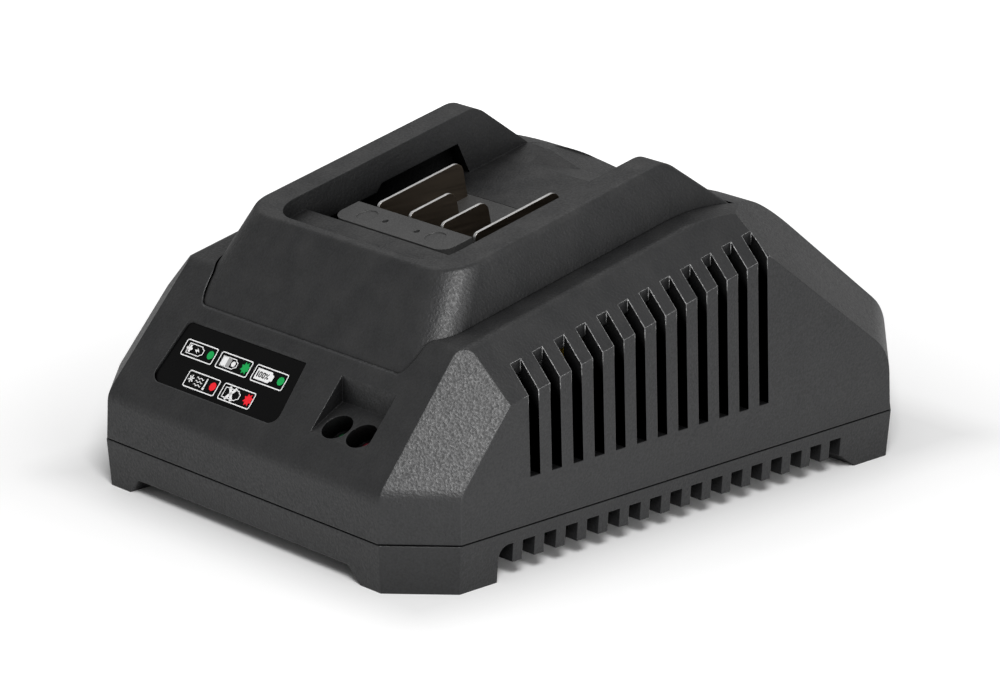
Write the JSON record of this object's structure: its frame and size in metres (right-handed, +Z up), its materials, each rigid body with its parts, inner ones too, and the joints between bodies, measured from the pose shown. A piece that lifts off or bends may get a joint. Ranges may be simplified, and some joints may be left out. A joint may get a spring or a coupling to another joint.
{
  "type": "power tool battery charger",
  "caption": "Desktop charger for slide-in power tool battery packs, with a sloped louvred housing, an inclined dock with contact blades, an indicator panel and a cooling fan.",
  "frame": {"origin": "on the ground under the middle plane, 88 mm behind the front face and 100 mm in front of the back wall", "axes": "+X to the right seen from the front, +Y to the back where the mains inlet is, +Z up"},
  "size_m": [0.132, 0.188, 0.0836],
  "materials": {
    "housing_plastic": "fine textured charcoal plastic",
    "block_plastic": "smooth black plastic",
    "plated_steel": "plated contact metal",
    "label_film": "glossy black film",
    "green_lamp": "clear green lens, unlit",
    "red_lamp": "clear red lens, unlit",
    "circuit_board": "green solder mask",
    "ferrite": "sintered ferrite",
    "winding_tape": "yellow insulating tape",
    "capacitor_sleeve": "shrink sleeve",
    "heat_sink_aluminium": "extruded aluminium",
    "device_black": "moulded epoxy",
    "choke_winding": "enamelled wire",
    "film_box": "yellow box",
    "fan_plastic": "moulded plastic",
    "bearing_bronze": "sintered bronze",
    "screw_steel": "zinc plated steel"
  },
  "bodies": {
    "housing": {"upper_housing": "housing_plastic", "lower_housing": "housing_plastic", "battery_dock": "housing_plastic", "terminal_block": "block_plastic", "positive_terminal": "plated_steel", "negative_terminal": "plated_steel", "data_terminal": "plated_steel", "temperature_terminal": "plated_steel", "indicator_label": "label_film", "green_indicator_led": "green_lamp", "red_indicator_led": "red_lamp", "indicator_board": "circuit_board", "main_circuit_board": "circuit_board", "transformer_core": "ferrite", "transformer_coil": "winding_tape", "input_capacitor": "capacitor_sleeve", "output_capacitors": "capacitor_sleeve", "primary_heat_sink": "heat_sink_aluminium", "secondary_heat_sink": "heat_sink_aluminium", "switching_transistor": "device_black", "output_rectifier": "device_black", "bridge_rectifier": "device_black", "line_filter_choke": "choke_winding", "filter_capacitor": "film_box", "mains_fuse": "device_black", "fan_frame": "fan_plastic", "fan_bearing": "bearing_bronze", "mains_inlet": "block_plastic", "inlet_pins": "plated_steel", "housing_screws": "screw_steel", "board_screws": "screw_steel", "dock_screws": "screw_steel"},
    "rotor": {"fan_rotor": "fan_plastic", "fan_shaft": "screw_steel"}
  },
  "joints": [
    {"name": "fan_spin", "type": "hinge", "parent": "housing", "child": "rotor", "pos_m": [-0.0505, 0.008, 0.0266], "axis": [1, 0, 0], "continuous": true}
  ]
}
